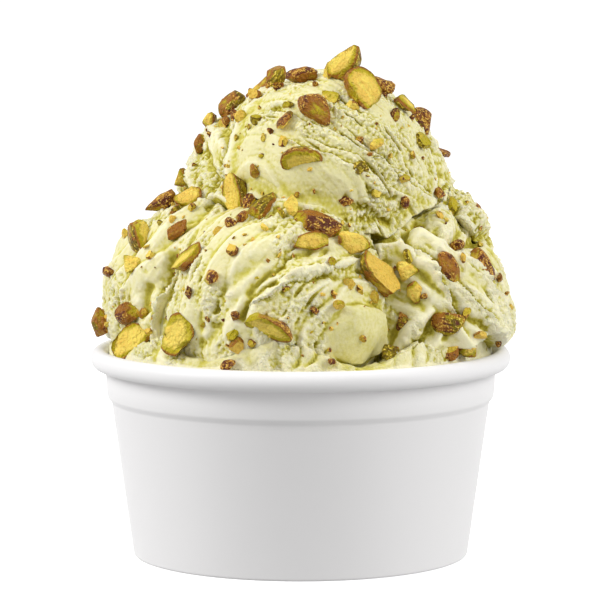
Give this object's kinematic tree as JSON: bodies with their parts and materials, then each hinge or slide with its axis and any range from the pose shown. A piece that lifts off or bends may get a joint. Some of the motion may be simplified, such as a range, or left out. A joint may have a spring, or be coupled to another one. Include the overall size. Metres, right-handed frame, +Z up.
{
  "type": "gelato cup",
  "caption": "Round white tub with a rolled rim, heaped with scoops of pale green pistachio gelato and chopped pistachio pieces.",
  "frame": {"origin": "middle of the tub's foot, on the surface it stands on", "axes": "+Z up along the tub's axis; -Y is the front of the serving; +X to the right seen from the front"},
  "size_m": [0.1016, 0.1, 0.1223],
  "materials": {
    "tub": "smooth white, satin",
    "gelato": "pale yellow-green pistachio gelato, moist and torn",
    "pistachio": "roasted pistachio kernel, green inside with purple-brown skin"
  },
  "bodies": {
    "root": {"tub": "tub", "gelato_fill": "gelato", "scoop_top": "gelato", "scoop_crown": "gelato", "scoop_front": "gelato", "scoop_left": "gelato", "scoop_right": "gelato", "scoop_rear": "gelato", "scoop_shoulder": "gelato", "pistachio_front_01": "pistachio", "pistachio_front_02": "pistachio", "pistachio_front_03": "pistachio", "pistachio_front_04": "pistachio", "pistachio_front_05": "pistachio", "pistachio_front_06": "pistachio", "pistachio_front_07": "pistachio", "pistachio_front_08": "pistachio", "pistachio_front_09": "pistachio", "pistachio_front_10": "pistachio", "pistachio_front_11": "pistachio", "pistachio_front_12": "pistachio", "pistachio_front_13": "pistachio", "pistachio_front_14": "pistachio", "pistachio_front_15": "pistachio", "pistachio_front_16": "pistachio", "pistachio_front_17": "pistachio", "pistachio_front_18": "pistachio", "pistachio_front_19": "pistachio", "pistachio_front_20": "pistachio", "pistachio_front_21": "pistachio", "pistachio_front_22": "pistachio", "pistachio_front_23": "pistachio", "pistachio_front_24": "pistachio", "pistachio_front_25": "pistachio", "pistachio_front_26": "pistachio", "pistachio_front_27": "pistachio", "pistachio_front_28": "pistachio", "pistachio_front_29": "pistachio", "pistachio_front_30": "pistachio", "pistachio_front_31": "pistachio", "pistachio_front_32": "pistachio", "pistachio_front_33": "pistachio", "pistachio_front_34": "pistachio", "pistachio_front_35": "pistachio", "pistachio_front_36": "pistachio", "pistachio_front_37": "pistachio", "pistachio_rear_01": "pistachio", "pistachio_rear_02": "pistachio", "pistachio_rear_03": "pistachio", "pistachio_rear_04": "pistachio", "pistachio_rear_05": "pistachio", "pistachio_rear_06": "pistachio", "pistachio_rear_07": "pistachio", "pistachio_rear_08": "pistachio", "pistachio_rear_09": "pistachio", "pistachio_rear_10": "pistachio", "pistachio_rear_11": "pistachio", "pistachio_rear_12": "pistachio", "pistachio_rear_13": "pistachio"}
  },
  "joints": []
}
